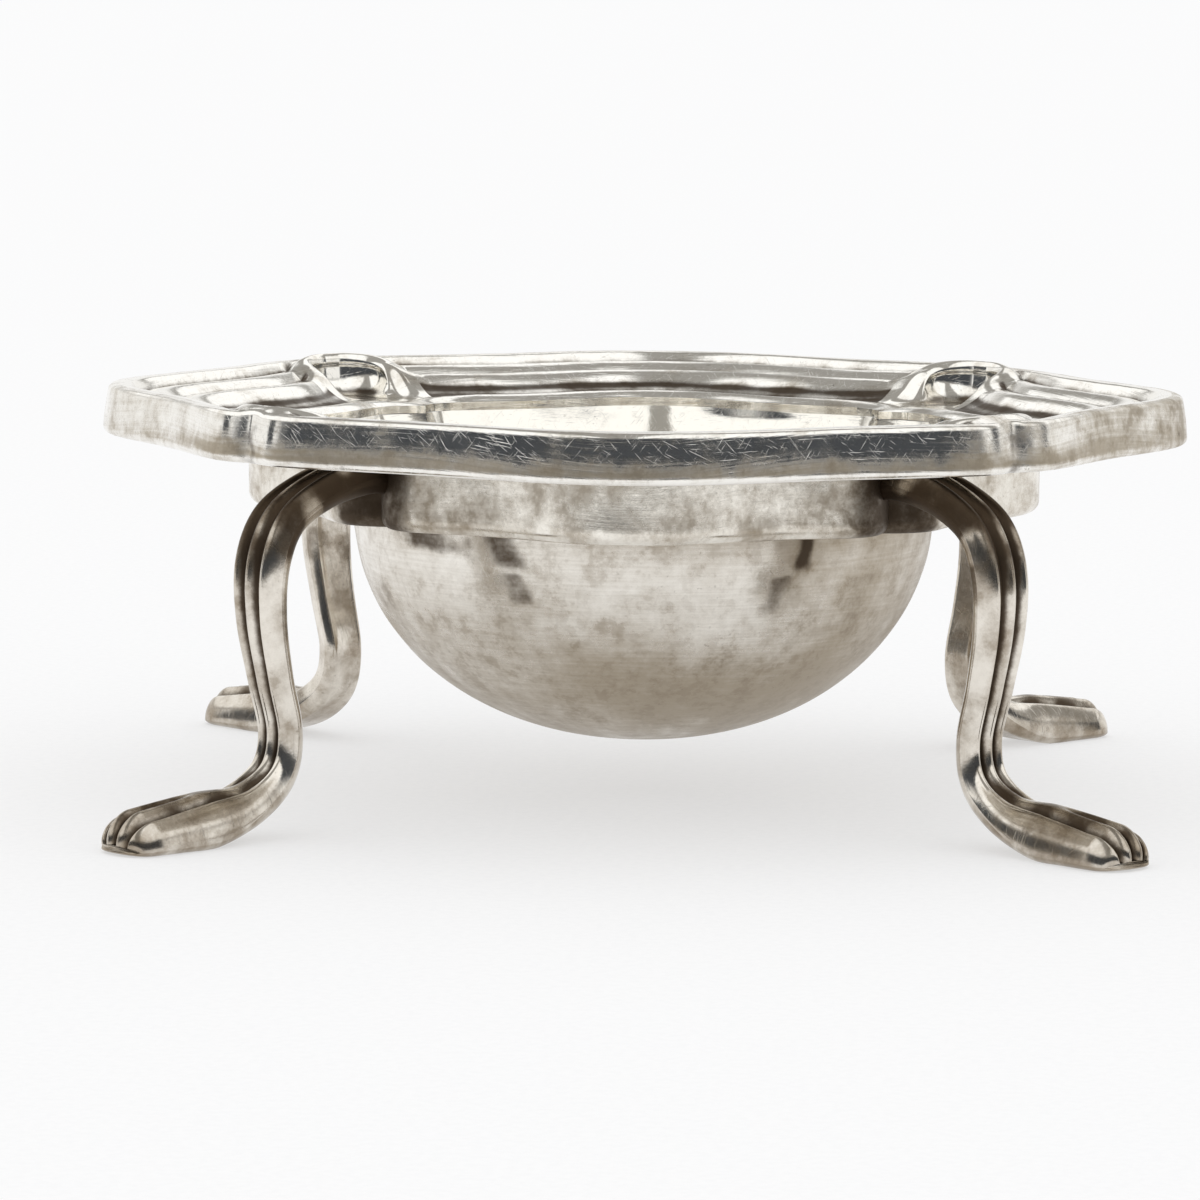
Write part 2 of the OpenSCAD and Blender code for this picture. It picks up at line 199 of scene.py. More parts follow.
# The silvers: bright and filmed colour, range of roughness, depth of the scratches and the turning
# lines, unevenness and dullness of the film, and whether the lines run round the axis
SILVERS = {
    "bowl": ((0.93, 0.9, 0.84), (0.42, 0.36, 0.28), (0.12, 0.2), 0.12, 0.5, 0.5, 0.2, True),
    "collar": ((0.95, 0.92, 0.85), (0.41, 0.34, 0.25), (0.05, 0.12), 0.15, 0.2, 0.8, 0.4, True),
    "rim": ((0.95, 0.93, 0.885), (0.48, 0.42, 0.33), (0.05, 0.13), 0.36, 0.9, 1.0, 0.36, True),
    "shell": ((0.95, 0.93, 0.88), (0.47, 0.395, 0.29), (0.05, 0.12), 0.2, 0.0, 1.0, 0.14, True),
    "leg": ((0.86, 0.815, 0.74), (0.34, 0.28, 0.21), (0.05, 0.13), 0.15, 0.0, 0.8, 0.14, False),
}
# Colours of the dirt in the recesses and of the painted shade under the rim, of the stains in the
# film and of its specks
TARNISH_AND_SHADE = (0.075, 0.052, 0.034)
STAIN = (0.26, 0.205, 0.145)
SPECK = (0.2, 0.165, 0.12)


def side_angle(a):
    """Angle from azimuth a to the side that it lies on."""
    return a - 90 * np.round(a / 90)


def side_to(azimuth, middle):
    """Angle from a middle azimuth, from -180 to 180."""
    return (azimuth - middle + 180) % 360 - 180


def off_corner(a):
    """Angle between azimuth a and the nearest corner."""
    return 45 - np.abs(side_angle(a))


def near_corner(a, span):
    """0 at a span away from the nearest corner, 1 at the corner."""
    return np.clip(1 - off_corner(a) / span, 0, 1)


def lobed_r(a):
    """The lobed plan curve that the edge, the lip and the collar follow."""
    t = np.radians(a)
    return RIM_MID_R + SIDE_SWELL * np.cos(4 * t) + LOBE_SWELL * np.cos(8 * t)


def edge_r(a):
    """Radius of the rim's outer edge."""
    off = np.hypot(off_corner(a), NOTCH_ROUND)
    return lobed_r(a) - NOTCH_DEPTH * np.clip(1 - off / NOTCH_SPAN, 0, 1) ** 2


def land_r(a):
    """Radius where the top of the border starts."""
    return edge_r(a) - EDGE_ROUND - EDGE_LEAN


def lip_r(a):
    """Radius of the lip of the well."""
    return lobed_r(a) - BORDER_W - CUSP_DEPTH * near_corner(a, CUSP_SPAN) ** 2


def lip_point(off, out=0.0):
    """The lip's point at an angle from a corner, in the corner's frame, moved outwards."""
    r, t = lip_r(45 + off) + out, np.radians(off)
    return r * np.cos(t), r * np.sin(t)


def ease(x):
    """Smooth step from 0 to 1."""
    return (1 - np.cos(np.pi * np.clip(x, 0, 1))) / 2


def ramp(x, start, length):
    """Smooth step that starts at a value of x and takes a length. A negative length runs down."""
    return ease((x - start) / length)


def bump(x, middle, width):
    """A smooth bump of height 1."""
    return np.exp(-(((x - middle) / width) ** 2))


def ripple(points, wave, seed):
    """Smooth irregular waves of about unit height over points, with the given wavelength."""
    rng = np.random.default_rng(seed)
    total = np.zeros(points.shape[:-1])
    waves = 7
    for _ in range(waves):
        direction = rng.normal(size=3)
        direction /= np.linalg.norm(direction)
        length = wave * rng.uniform(0.7, 1.5)
        total += np.sin(2 * np.pi * (points @ direction) / length + rng.uniform(0, 2 * np.pi))
    return total / math.sqrt(waves)


def polar(r, a, z):
    """Points from radius, azimuth and height."""
    t = np.radians(a)
    r, t, z = np.broadcast_arrays(r, t, z)
    return np.stack([r * np.cos(t), r * np.sin(t), z], axis=-1)


def azimuth(x, y):
    """Azimuth of a point, from -180 to 180."""
    return np.degrees(np.arctan2(y, x))


def turned(points, angle):
    """Points turned about the Z axis."""
    c, s = math.cos(math.radians(angle)), math.sin(math.radians(angle))
    return points @ np.array([[c, s, 0], [-s, c, 0], [0, 0, 1]])


def border_profile():
    """Drop of the border's top against the share of its width, with its arrises softened."""
    samples, reach, softness = 801, 16, 5.0
    u = np.linspace(0, 1, samples)
    drop = np.zeros_like(u)
    for start, end, top, bottom, crown in MEMBERS:
        inside = (u >= start) & (u <= end)
        t = (u[inside] - start) / (end - start)
        drop[inside] = top + (bottom - top) * t - crown * np.sin(np.pi * t)
    kernel = np.exp(-((np.arange(-reach, reach + 1) / softness) ** 2))
    soft = np.convolve(np.pad(drop, reach, mode="edge"), kernel / kernel.sum(), mode="valid")
    return u, soft


PROFILE_U, PROFILE_DROP = border_profile()


def gathered(u, a):
    """Where a share of the border's width lands, with the reeds drawn outwards near a shell."""
    return u - GATHER * np.sin(np.pi * u) * near_corner(a, GATHER_SPAN) ** 2


def border_share(r, a):
    """Share of the border's width at a radius, found by halving, before and after the gathering."""
    place = (land_r(a) - r) / (land_r(a) - lip_r(a))
    low, high = np.zeros_like(place), np.ones_like(place)
    halvings = 20
    for _ in range(halvings):
        middle = (low + high) / 2
        short = gathered(middle, a) < place
        low = np.where(short, middle, low)
        high = np.where(short, high, middle)
    return (low + high) / 2, place


def to_corner(x, y):
    """Points in the frame of their nearest corner."""
    off = np.radians(side_angle(azimuth(x, y) - 45))
    r = np.hypot(x, y)
    return r * np.cos(off), r * np.sin(off)


def hood_ring(x, y):
    """Distance from the middle of a hood's horseshoe, with its centre line at 1."""
    return np.hypot(np.maximum(0, x - HOOD_X) / HOOD_BEND, y / HOOD_HALF)


def hood_levels(x, border, place):
    """Levels of the crest and the hollow at points of a corner, and the arms' strength."""
    along_hood = (HOOD_X + HOOD_BEND * CREST_RING - x) / (HOOD_BEND + HOOD_ARM)
    along_hood = np.clip(along_hood, 0, 1)
    arms = 1 - ease(along_hood**0.9)
    crest = border + (HEIGHT + HOOD_RISE * (1 - along_hood) ** 2 - border) * arms
    hollow = HOLLOW_Z + (border - HOLLOW_Z) * ramp(place, MOUTH_AT, MOUTH_RISE)
    return crest, np.minimum(hollow, crest), arms


def knot_height(x, y, border, place):
    """Height of the border's top with its hoods, at points in a corner's frame."""
    ring = hood_ring(x, y)
    crest, hollow, arms = hood_levels(x, border, place)
    around = np.arctan2(y / HOOD_HALF, (x - HOOD_X) / HOOD_BEND)
    behind = np.clip((ring - CREST_RING) / BACK_RING, 0, 1)
    back = border + (crest - border) * np.cos(np.pi / 2 * behind)
    flutes = FLUTE_DEPTH * (0.5 + 0.5 * np.cos(FLUTES * around)) * bump(ring, 1.12, 0.12) * arms
    inner = hollow + (crest - hollow) * ramp(ring, WALL_RING, CREST_RING - WALL_RING)
    return np.where(ring > CREST_RING, back - flutes, inner)


def reeded(share, a):
    """Height of the reeded border at a share of its width. The reeds flatten towards a hood."""
    drop = np.interp(share, PROFILE_U, PROFILE_DROP)
    plain = np.interp(share, *PLAIN_SLOPE)
    drop = drop + (plain - drop) * FLATTEN * near_corner(a, FLATTEN_SPAN) ** 1.3
    return HEIGHT - LIP_DROP * drop


def border_height(x, y):
    """Height and share of the border's top at points, hoods included."""
    a = azimuth(x, y)
    share, place = border_share(np.hypot(x, y), a)
    return knot_height(*to_corner(x, y), reeded(share, a), place), share


def border_points(r, a):
    """Points of the border's top at radius and azimuth, and their shares of its width."""
    flat = polar(r, a, 0.0)
    z, share = border_height(flat[..., 0], flat[..., 1])
    return polar(r, a, z), share


# A corner shell's ground, in the corner's frame: its outer end, and its half angles there and at
# the lip
SHELL_OUT = float(lobed_r(45)) - NOTCH_DEPTH - SHELL_MARGIN
SHELL_ANGLE = math.degrees(math.atan(SHELL_W / 2 / SHELL_OUT))
SHELL_TIP_ANGLE = math.degrees(math.atan(SHELL_TIP_W / 2 / float(lip_r(45))))


def shell_point(u, v):
    """Plan point of a shell: u from its outer end to the lip, v across it."""
    lip_x, lip_y = lip_point(v * SHELL_TIP_ANGLE)
    side = v * SHELL_W / 2
    return SHELL_OUT + (lip_x - SHELL_OUT) * u, side + (lip_y - side) * u


def seat_side():
    """Radius and angle from the corner along a shell's side, and a little past it."""
    u = np.linspace(1.1, -0.3, 60)
    x, y = shell_point(u, 1.0)
    return np.hypot(x, y), azimuth(x, y)


SEAT_R, SEAT_ANGLE = seat_side()


def strip_r(a):
    """Radius where the outer strip of a rim ends: at the shells, and just inside the land."""
    off = np.minimum(off_corner(a), SHELL_ANGLE)
    gap = land_r(45 - off) - SHELL_OUT / np.cos(np.radians(off))
    return land_r(a) - gap


def crowded(t, power):
    """Shares from -1 to 1, drawn together towards both ends."""
    return np.sign(t) * (1 - (1 - np.abs(t)) ** power)


def without_repeats(face):
    """A face's vertices with those dropped that repeat the one before."""
    return [k for k, before in zip(face, face[-1:] + face[:-1]) if k != before]


class Surface:
    """Collects grids of points, with their grime and film values and the painted shade in them,
    into one mesh.
    """

    def __init__(self):
        self.points = []
        self.faces = []
        self.grime_and_shade = []
        self.film_and_painted_light = []
        self.loops = []
        self.count = 0

    def grid(self, points, grime_and_shade=0.0, film_and_painted_light=0.5, closed=False):
        """Adds a grid of points. closed joins its last column to its first."""
        rows, cols = points.shape[:2]
        index = self.count + np.arange(rows * cols).reshape(rows, cols)
        if closed:
            index = np.concatenate([index, index[:, :1]], axis=1)
        a, b, c, d = index[:-1, :-1], index[:-1, 1:], index[1:, 1:], index[1:, :-1]
        quads = np.stack([a, b, c, d], axis=-1).reshape(-1, 4)
        self.faces += quads.tolist()
        self.points.append(points.reshape(-1, 3))
        self.grime_and_shade.append(np.broadcast_to(grime_and_shade, (rows, cols)).reshape(-1))
        self.film_and_painted_light.append(np.broadcast_to(film_and_painted_light, (rows, cols)).reshape(-1))
        self.count += rows * cols
        self.loops.append(index)
        return index

    def cap(self, ring):
        """Closes a ring of vertices with one face."""
        self.faces.append([int(k) for k in ring])

    def join(self, a, b):
        """Joins two equal rows of vertices with faces."""
        for k in range(len(a) - 1):
            self.faces.append([int(a[k]), int(a[k + 1]), int(b[k + 1]), int(b[k])])

    def build(self, name):
        """Makes the mesh object, in metres, shaded smooth, with vertices at one place joined."""
        mesh = bpy.data.meshes.new(name)
        points = np.concatenate(self.points)
        keys = np.round(points, 4)
        _, first, same = np.unique(keys, axis=0, return_index=True, return_inverse=True)
        same = same.reshape(-1).tolist()
        faces = [without_repeats([same[k] for k in face]) for face in self.faces]
        faces = [face for face in faces if len(face) > 2]
        mesh.from_pydata((points[first] * MM).tolist(), [], faces)
        mesh.validate()
        shape = bmesh.new()
        shape.from_mesh(mesh)
        bmesh.ops.recalc_face_normals(shape, faces=shape.faces)
        shape.to_mesh(mesh)
        shape.free()
        for key, values in (("grime_and_shade", self.grime_and_shade), ("film_and_painted_light", self.film_and_painted_light)):
            layer = mesh.attributes.new(key, "FLOAT", "POINT")
            kept = np.concatenate(values)[first]
            layer.data.foreach_set("value", np.clip(kept, 0, 1).astype(np.float32))
        mesh.polygons.foreach_set("use_smooth", [True] * len(mesh.polygons))
        mesh.set_sharp_from_angle(angle=math.radians(SHARP_ANGLE))
        mesh.update()
        obj = bpy.data.objects.new(name, mesh)
        bpy.context.collection.objects.link(obj)
        return obj


def dented(points):
    """The border's wear: shallow waves, the same wherever two of its pieces meet."""
    fade = ramp(points[..., 2] - UNDER_Z, 0.1, 0.8)
    waves = ripple(points, 8, SEED + 3) + 0.5 * ripple(points, 3, SEED + 4)
    out = points.copy()
    out[..., :2] *= (1 - fade * (0.022 - 0.009 * waves) / RIM_MID_R)[..., None]
    out[..., 2] += 0.011 * fade * waves
    return out


def seat_columns(w, middle, t):
    """Azimuth and radius at shares w of the way from the strip to the lip, between two seats."""
    half = np.full_like(w, 45 - SHELL_ANGLE)
    rounds = 30
    for _ in range(rounds):
        r = strip_r(half) - (strip_r(half) - lip_r(half)) * gathered(w, half)
        half = 45 - np.interp(r, SEAT_R, SEAT_ANGLE)
    half[..., 0] = 45 - SHELL_ANGLE
    a = half * t
    r = strip_r(a) - (strip_r(a) - lip_r(a)) * gathered(w, a)
    return middle + a, r


def rim_strip(a):
    """A rim's outer strip at azimuths a: its underside, fillet, leaning wall, bend and land."""
    edge, land, inner = edge_r(a), land_r(a), strip_r(a)
    top_r = land + (inner - land) * np.linspace(0, 1, 5)
    top = border_points(top_r, a)[0]
    shoulder_z = top[:, :1, 2]

    foot = edge - EDGE_ROUND
    under = polar(inner + (foot - inner) * np.linspace(0, 0.9, 4), a, UNDER_Z)
    fillet = np.radians(np.linspace(0, 90, 9))
    low_z = UNDER_Z + EDGE_ROUND * (1 - np.cos(fillet))
    low = polar(foot + EDGE_ROUND * np.sin(fillet), a, low_z)

    # The wall leans in as it rises, and sinks in a little beside each corner
    rise = np.linspace(0.06, 1, 20)
    lean = EDGE_LEAN * (0.3 * rise + 0.7 * rise**2)
    sink = 0.06 * bump(off_corner(a), 9.5, 3.5) * np.sin(np.pi * rise)
    wall_z = UNDER_Z + EDGE_ROUND
    wall_h = shoulder_z - EDGE_ROUND - wall_z
    wall = polar(edge - lean - sink, a, wall_z + wall_h * rise)

    turn = np.radians(np.linspace(12, 90, 10))[1:]
    shoulder = edge - lean[-1]
    bend_r = shoulder - (shoulder - land) * (1 - np.cos(turn))
    bend = polar(bend_r, a, shoulder_z - EDGE_ROUND * (1 - np.sin(turn)))
    return np.concatenate([under, low, wall, bend, top[:, 1:]], axis=1)


def strip_marks(points):
    """Grime and film on a rim's strip: a tan lower band, partly film and partly a painted
    reflection of the table on the front, and dirt in the corners' creases.
    """
    a = azimuth(points[..., 0], points[..., 1])
    off = off_corner(a)
    level = (points[..., 2] - UNDER_Z) / EDGE_H
    crease = bump(off, 0, 2) * (0.42 + 0.25 * ripple(points, 1.4, SEED + 9))
    spots = ramp(ripple(points, 2.2, SEED + 10), 1.35, 0.6) * ramp(level, 0.45, -0.2)
    grime_and_shade = np.clip(crease * ramp(level, 0.95, -0.25) + 0.5 * spots, 0, 1)

    # Painted reflection: the tan band grows much stronger on the front, standing for the table
    # reflected in the lower wall
    front = ramp(np.abs(side_to(a, 90)), 95, 50)
    band_top = 0.66 + 0.04 * ripple(points, 5, SEED + 11)
    band = ramp(level, 0.1, 0.08) * ramp(level, band_top, -0.5)
    beside = bump(off, 5, 5) * 0.1 + 0.3 * ramp(np.abs(a), 39, -10)
    film_and_painted_light = 0.3 - 0.12 * front + (0.15 + 0.55 * front) * band + beside
    return grime_and_shade, np.clip(film_and_painted_light, 0, 1)


def add_strips(surface, middle, columns):
    """Adds a rim's outer strip: its middle, and a tail to each corner with its end."""
    tail = np.linspace(45 - SHELL_ANGLE, 45, 34)[:, None]
    strips = []
    for azimuths in (middle - tail[::-1], middle + columns, middle + tail):
        strip = dented(rim_strip(azimuths))
        surface.grid(strip, *strip_marks(strip))
        strips.append(strip)
    for strip in (strips[0], strips[2]):
        surface.grid(strip[:, [-1, 0]], 0.6)
    surface.cap(surface.loops[0][0])
    surface.cap(surface.loops[2][-1])


def add_reeds(surface, middle, t):
    """Adds a rim's reeds, its wall of the well and its underside, between its two seats."""
    w = np.concatenate([np.linspace(0, 0.12, 10)[:-1], np.linspace(0.12, 1, 118)])[None, :]
    a, r = seat_columns(w, middle, t)
    reeds, share = border_points(r, a)
    reeds[:, 0] = rim_strip(middle + (45 - SHELL_ANGLE) * t)[:, -1]

    down = np.linspace(0, 1, 7)[1:]
    lip_a, lip_z = a[:, -1:], reeds[:, -1:, 2]
    wall = polar(lip_r(lip_a) + 0 * down, lip_a, lip_z + (UNDER_Z - lip_z) * down)
    back = np.linspace(w.shape[1] - 1, 0, 12).astype(int)[1:]
    under = polar(r[:, back], a[:, back], UNDER_Z)

    reeds, wall = dented(reeds), dented(wall)
    marks = reed_marks(a, share, wall.shape[1], reeds)
    surface.grid(np.concatenate([reeds, wall], axis=1), *marks)
    surface.grid(np.concatenate([wall[:, -1:], under], axis=1), 0.3)
    over, below = surface.loops[-2].tolist(), surface.loops[-1].tolist()
    for k in (0, -1):
        surface.cap(over[k] + below[k][1:])


def make_rim(side, middle):
    """One side's moulding: its outer strip runs to the corners, its reeds stop at the seats."""
    surface = Surface()
    t = crowded(np.linspace(-1, 1, 185), 1.25)[:, None]
    add_strips(surface, middle, (45 - SHELL_ANGLE) * t)
    add_reeds(surface, middle, t)
    return surface.build("silver_rim_" + side)


def valley_grime(share):
    """Grime in the valleys of the reeds, at shares of the border's width."""
    return sum(strength * bump(share, place, width) for strength, place, width in VALLEYS)


def reed_marks(a, share, wall_columns, points):
    """Grime in the valleys of the reeds, stronger towards the corners, and a thin film."""
    waver = 0.14 * ripple(points, 5, SEED + 12)
    valleys = valley_grime(share)
    near = near_corner(a, 20) ** 1.5
    grime_and_shade = valleys * (0.85 + waver + 0.4 * near) + 0.3 * near * ramp(share, 0.45, 0.2)
    film_and_painted_light = 0.02 + 0.3 * near + 1.2 * waver + 0.45 * valleys
    wall_grime, wall_film = 0.04, 0.29
    wall = np.ones((len(grime_and_shade), wall_columns))
    grime_and_shade = np.concatenate([np.clip(grime_and_shade, 0, 1), wall_grime * wall], axis=1)
    return grime_and_shade, np.concatenate([np.clip(film_and_painted_light, 0, 1), wall_film * wall], axis=1)


def hood_lines():
    """Ends of the lines that run across a shell, from its spine to its outline."""
    lip_x, lip_y = lip_point(np.linspace(0, SHELL_TIP_ANGLE, 60))
    tip_x, tip_y = lip_x[-1], lip_y[-1]
    slope = (SHELL_W / 2 - tip_y) / (SHELL_OUT - tip_x)
    side = tip_y + slope * (HOOD_X - tip_x)

    x = np.concatenate([np.linspace(lip_x[0], tip_x, 22)[:-1], np.linspace(tip_x, HOOD_X, 84)])
    y = np.where(x < tip_x, np.interp(x, lip_x, lip_y), tip_y + slope * (x - tip_x))
    spine = np.stack([x, 0 * x], axis=1)
    rim = np.stack([x, y], axis=1)

    around = np.radians(np.linspace(90, 0, 64)[1:])
    way = np.stack([HOOD_BEND * np.cos(around), HOOD_HALF * np.sin(around)], axis=1)
    to_end = (SHELL_OUT - HOOD_X) / np.maximum(way[:, 0], 1e-9)
    to_side = side / (way[:, 1] - slope * way[:, 0]).clip(1e-9)
    reach = np.minimum(to_end, to_side)[:, None]
    middle = np.array([HOOD_X, 0.0]) + 0 * way
    spine = np.concatenate([spine, middle])
    rim = np.concatenate([rim, middle + way * reach])
    mirror = np.array([1, -1])
    spine = np.concatenate([spine, spine[-2::-1] * mirror])
    return spine, np.concatenate([rim, rim[-2::-1] * mirror])


def roll_path():
    """Distance and level, from a hood's crest down its rolled inner wall and across its hollow."""
    turn = np.radians(np.linspace(90, 205, 20))
    roll = np.stack([CREST_RING + 0.15 * np.cos(turn), 0.8 + 0.2 * np.sin(turn)], axis=1)
    foot = 0.3
    t = np.linspace(0, 1, 22)[1:, None]
    a, b, c, d = (np.array(p) for p in (roll[-1], (0.74, 0.4), (0.64, 0.06), (foot, 0.0)))
    wall = a * (1 - t) ** 3 + 3 * b * t * (1 - t) ** 2 + 3 * c * t**2 * (1 - t) + d * t**3
    floor = np.stack([np.linspace(foot, 0, 7)[1:], np.zeros(6)], axis=1)
    return np.concatenate([roll, wall, floor])


def shell_net():
    """A shell's net in the corner's frame: points, rings, levels, shares of the way out, which lie
    outside the crest, and how far each line is rolled."""
    spine, rim = hood_lines()
    step = rim - spine
    far = np.hypot(np.maximum(0, step[:, 0]) / HOOD_BEND, step[:, 1] / HOOD_HALF)[:, None]
    crest_at = np.minimum(CREST_RING, far)
    path = roll_path()
    plain_q = CREST_RING * (1 - np.linspace(0, 1, len(path)) ** 0.8)
    plain_h = ramp(plain_q, WALL_RING, CREST_RING - WALL_RING)
    rolled = 1 - ramp(spine[:, :1], HOOD_X, -0.75 * HOOD_ARM)
    inner_q = (plain_q + (path[:, 0] - plain_q) * rolled) * crest_at / CREST_RING
    inner_h = plain_h + (path[:, 1] - plain_h) * rolled
    outer_q = far + (crest_at - far) * np.linspace(0, 1, 17)[:-1]
    ring = np.concatenate([outer_q, inner_q], axis=1)
    level = np.concatenate([np.ones_like(outer_q), inner_h], axis=1)
    part = ring / np.maximum(far, 1e-9)
    place = spine[:, None] + step[:, None] * part[..., None]
    return place, ring, level, part, ring >= crest_at - 1e-6, rolled


def shell_marks(points, ring, level, part, place, share, arms, rolled):
    """Grime and film of a shell: dirt in its hollow, along its foot and in the reeds' valleys."""
    speckle = 0.16 * ripple(points, 2.4, SEED + 20)
    deep = bump(level, 0.1, 0.12) * bump(ring, 0.5, 0.25) * rolled
    beside = ramp(ring, 1.08, 0.2) * (1 - arms) * 0.6
    foot = bump(ring, CREST_RING + BACK_RING, 0.09) * (0.55 + speckle) * ramp(part, 0.4, 0.2)
    valleys = valley_grime(share) * ramp(part, 0.78, 0.2) * ramp(ring - CREST_RING, 0.1, 0.2)
    grime_and_shade = (0.8 + speckle) * deep + (0.2 + speckle) * (level < 0.1) * arms
    grime_and_shade = grime_and_shade + beside * (1 - ramp(place, 0.7, 0.1))
    grime_and_shade = np.maximum(grime_and_shade, np.maximum(foot, valleys))
    film_and_painted_light = 0.12 + 0.5 * (level < 0.12) * arms + speckle
    return np.clip(grime_and_shade, 0, 1), np.clip(film_and_painted_light, 0, 1)


def make_shell(corner, angle):
    """A corner shell: a rolled horseshoe hood over a hollow that runs down to the lip."""
    surface = Surface()
    plan, ring, level, part, outside, rolled = shell_net()
    x, y = plan[..., 0], plan[..., 1]
    a = 45 + azimuth(x, y)
    share, place = border_share(np.hypot(x, y), a)
    border = reeded(share, a)
    crest, hollow, arms = hood_levels(x, border, place)
    inside = hollow + (crest - hollow) * level
    z = np.where(outside, knot_height(x, y, border, place), inside)
    top = dented(turned(np.stack([x, y, z], axis=-1), angle))
    surface.grid(top, *shell_marks(top, ring, level, part, place, share, arms, rolled))

    outline = top[:, 0]
    lower = outline.copy()
    lower[:, 2] = UNDER_Z + 0.05
    surface.grid(np.stack([outline, lower], axis=1), 0.04, 0.3)
    surface.cap(surface.loops[-1][:-1, 1])
    return surface.build("silver_shell_" + corner)


def make_collar():
    """The lobed band round the bowl's mouth."""
    surface = Surface()
    spread = 45 * crowded(2 * np.linspace(0, 1, 111)[:-1] - 1, 1.3)
    a = np.concatenate([side + spread for side in SIDES.values()])[:, None]
    inner = lip_r(a)
    outer = inner + COLLAR_T

    under_r = BOWL_R + (outer - COLLAR_ROUND - BOWL_R) * np.linspace(0, 0.97, 8)
    under = polar(under_r, a, COLLAR_Z)
    bend = np.radians(np.linspace(0, 90, 12))
    low_z = COLLAR_Z + COLLAR_ROUND * (1 - np.cos(bend))
    low = polar(outer - COLLAR_ROUND * (1 - np.sin(bend)), a, low_z)
    rise = np.linspace(0.06, 1, 18)
    wall_z = COLLAR_Z + COLLAR_ROUND
    wall = polar(outer + 0 * rise, a, wall_z + (UNDER_Z - wall_z) * rise)
    down = np.linspace(0, 1, 26)
    inside_r = inner - WELL_SWEEP * (0.55 * down + 0.45 * down**3)
    inside = polar(inside_r, a, UNDER_Z - (UNDER_Z - LEDGE_Z) * down)
    ledge_r = inner - WELL_SWEEP
    ledge = polar(ledge_r + (BOWL_R - ledge_r) * np.linspace(0.2, 1, 5), a, LEDGE_Z)
    ring = np.concatenate([under, low, wall, inside, ledge], axis=1)

    waves = 0.03 * ripple(ring, 9, SEED + 40) + 0.01 * ripple(ring, 3.5, SEED + 41)
    face = ramp(ring[..., 2], COLLAR_Z, 0.8) * ramp(ring[..., 2], UNDER_Z, -0.6)
    ring[..., :2] *= (1 + waves * face / np.hypot(ring[..., 0], ring[..., 1]))[..., None]
    outer_columns = under.shape[1] + low.shape[1] + wall.shape[1]
    index = surface.grid(ring, *collar_marks(ring, a, outer_columns))
    surface.join(index[-1], index[0])
    return surface.build("silver_collar")


def collar_marks(points, a, outer_columns):
    """Marks on the collar's outside: darker towards the corners and towards its top, with a few
    spots, and a film.
    """
    level = (points[..., 2] - COLLAR_Z) / COLLAR_H
    outside = np.arange(points.shape[1])[None, :] < outer_columns
    # Darker towards the corners, and more so higher up
    corner = near_corner(a, 19) + 0.12 * ripple(points, 6, SEED + 42)
    grime_and_shade = ramp(corner, 0.25, 0.6) * (0.75 + 0.25 * level)
    spots = ramp(ripple(points, 3, SEED + 43), 0.7, 1.2) * 0.3
    film_and_painted_light = 0.36 + 0.06 * ripple(points, 5, SEED + 44) + 0.35 * near_corner(a, 30)
    grime_and_shade = (grime_and_shade + spots * (0.4 + corner)) * outside
    return np.clip(grime_and_shade, 0, 1), np.clip(film_and_painted_light, 0, 1) * outside


def bowl_marks(points):
    """Grime of the runs and stains on the bowl's outside, and the film, which also paints shade: it
    thickens towards the bottom and darkens the bowl there.
    """
    across = side_to(azimuth(points[..., 0], points[..., 1]), -90)
    across = across + 0.7 * ripple(points, 6, SEED + 60) + 0.6 * ripple(points, 1.6, SEED + 64)
    depth = LEDGE_Z - COLLAR_T - points[..., 2] + 0.12 * ripple(points, 2.5, SEED + 63)
    marks = np.zeros(points.shape[:-1])
    for place, drift, width, start, length, strength in BOWL_MARKS:
        down = depth - start
        middle = place + drift * np.clip(down / length, 0, 1)
        body = np.exp(-np.abs((across - middle) / width) ** 3)
        ends = ease(down / 0.3) * (1 - ramp(down, length * 0.6, length * 0.45))
        marks = np.maximum(marks, strength * body * ends)
    turning = (depth + 0.12 * ripple(points, 6, SEED + 61)) / 0.42
    lines = 0.5 + 0.5 * np.sin(2 * np.pi * turning)
    # Painted shade: the film thickens towards the bottom, so the bowl darkens there as if it
    # reflected the shaded table beneath
    film_and_painted_light = 0.4 + 0.5 * ramp(depth, 3, 12) + 0.1 * ripple(points, 9, SEED + 62)
    film_and_painted_light = film_and_painted_light + 0.3 * ramp(across, 15, 45) * ramp(np.abs(across), 170, -50)
    film_and_painted_light = film_and_painted_light + 0.3 * marks + 0.12 * bump(depth, 0.6, 1)
    return marks * (0.94 + 0.06 * lines), np.clip(film_and_painted_light, 0, 1)


def make_bowl():
    """The round-bottomed bowl, outside and inside."""
    surface = Surface()
    a = np.linspace(0, 360, 481)[:-1][:, None]
    t = np.radians(90 * np.linspace(0, 1, 150)[:-1] ** 1.15)
    power = 2 / BOWL_FULLNESS

    def curve(r, depth):
        return r * np.cos(t) ** power, LEDGE_Z - depth * np.sin(t) ** power

    out_r, out_z = curve(BOWL_R - SOLDER_GAP, BOWL_DEPTH)
    in_r, in_z = curve(BOWL_R - SOLDER_GAP - BOWL_T, BOWL_DEPTH - BOWL_T)
    outside = polar(out_r, a, out_z)
    inside = polar(in_r, a, in_z)[:, ::-1]
    dents = 0.055 * ripple(outside, 14, SEED + 50) + 0.02 * ripple(outside, 5, SEED + 51)
    outside[..., :2] *= (1 - (0.06 + 0.9 * dents) / BOWL_R)[..., None]
    clean = np.zeros(inside.shape[:-1])
    marks = [np.concatenate([clean, mark], axis=1) for mark in bowl_marks(outside)]
    index = surface.grid(np.concatenate([inside, outside], axis=1), *marks)
    surface.join(index[-1], index[0])
    surface.cap(index[:, -1])
    surface.cap(index[:, 0])
    return surface.build("silver_bowl")


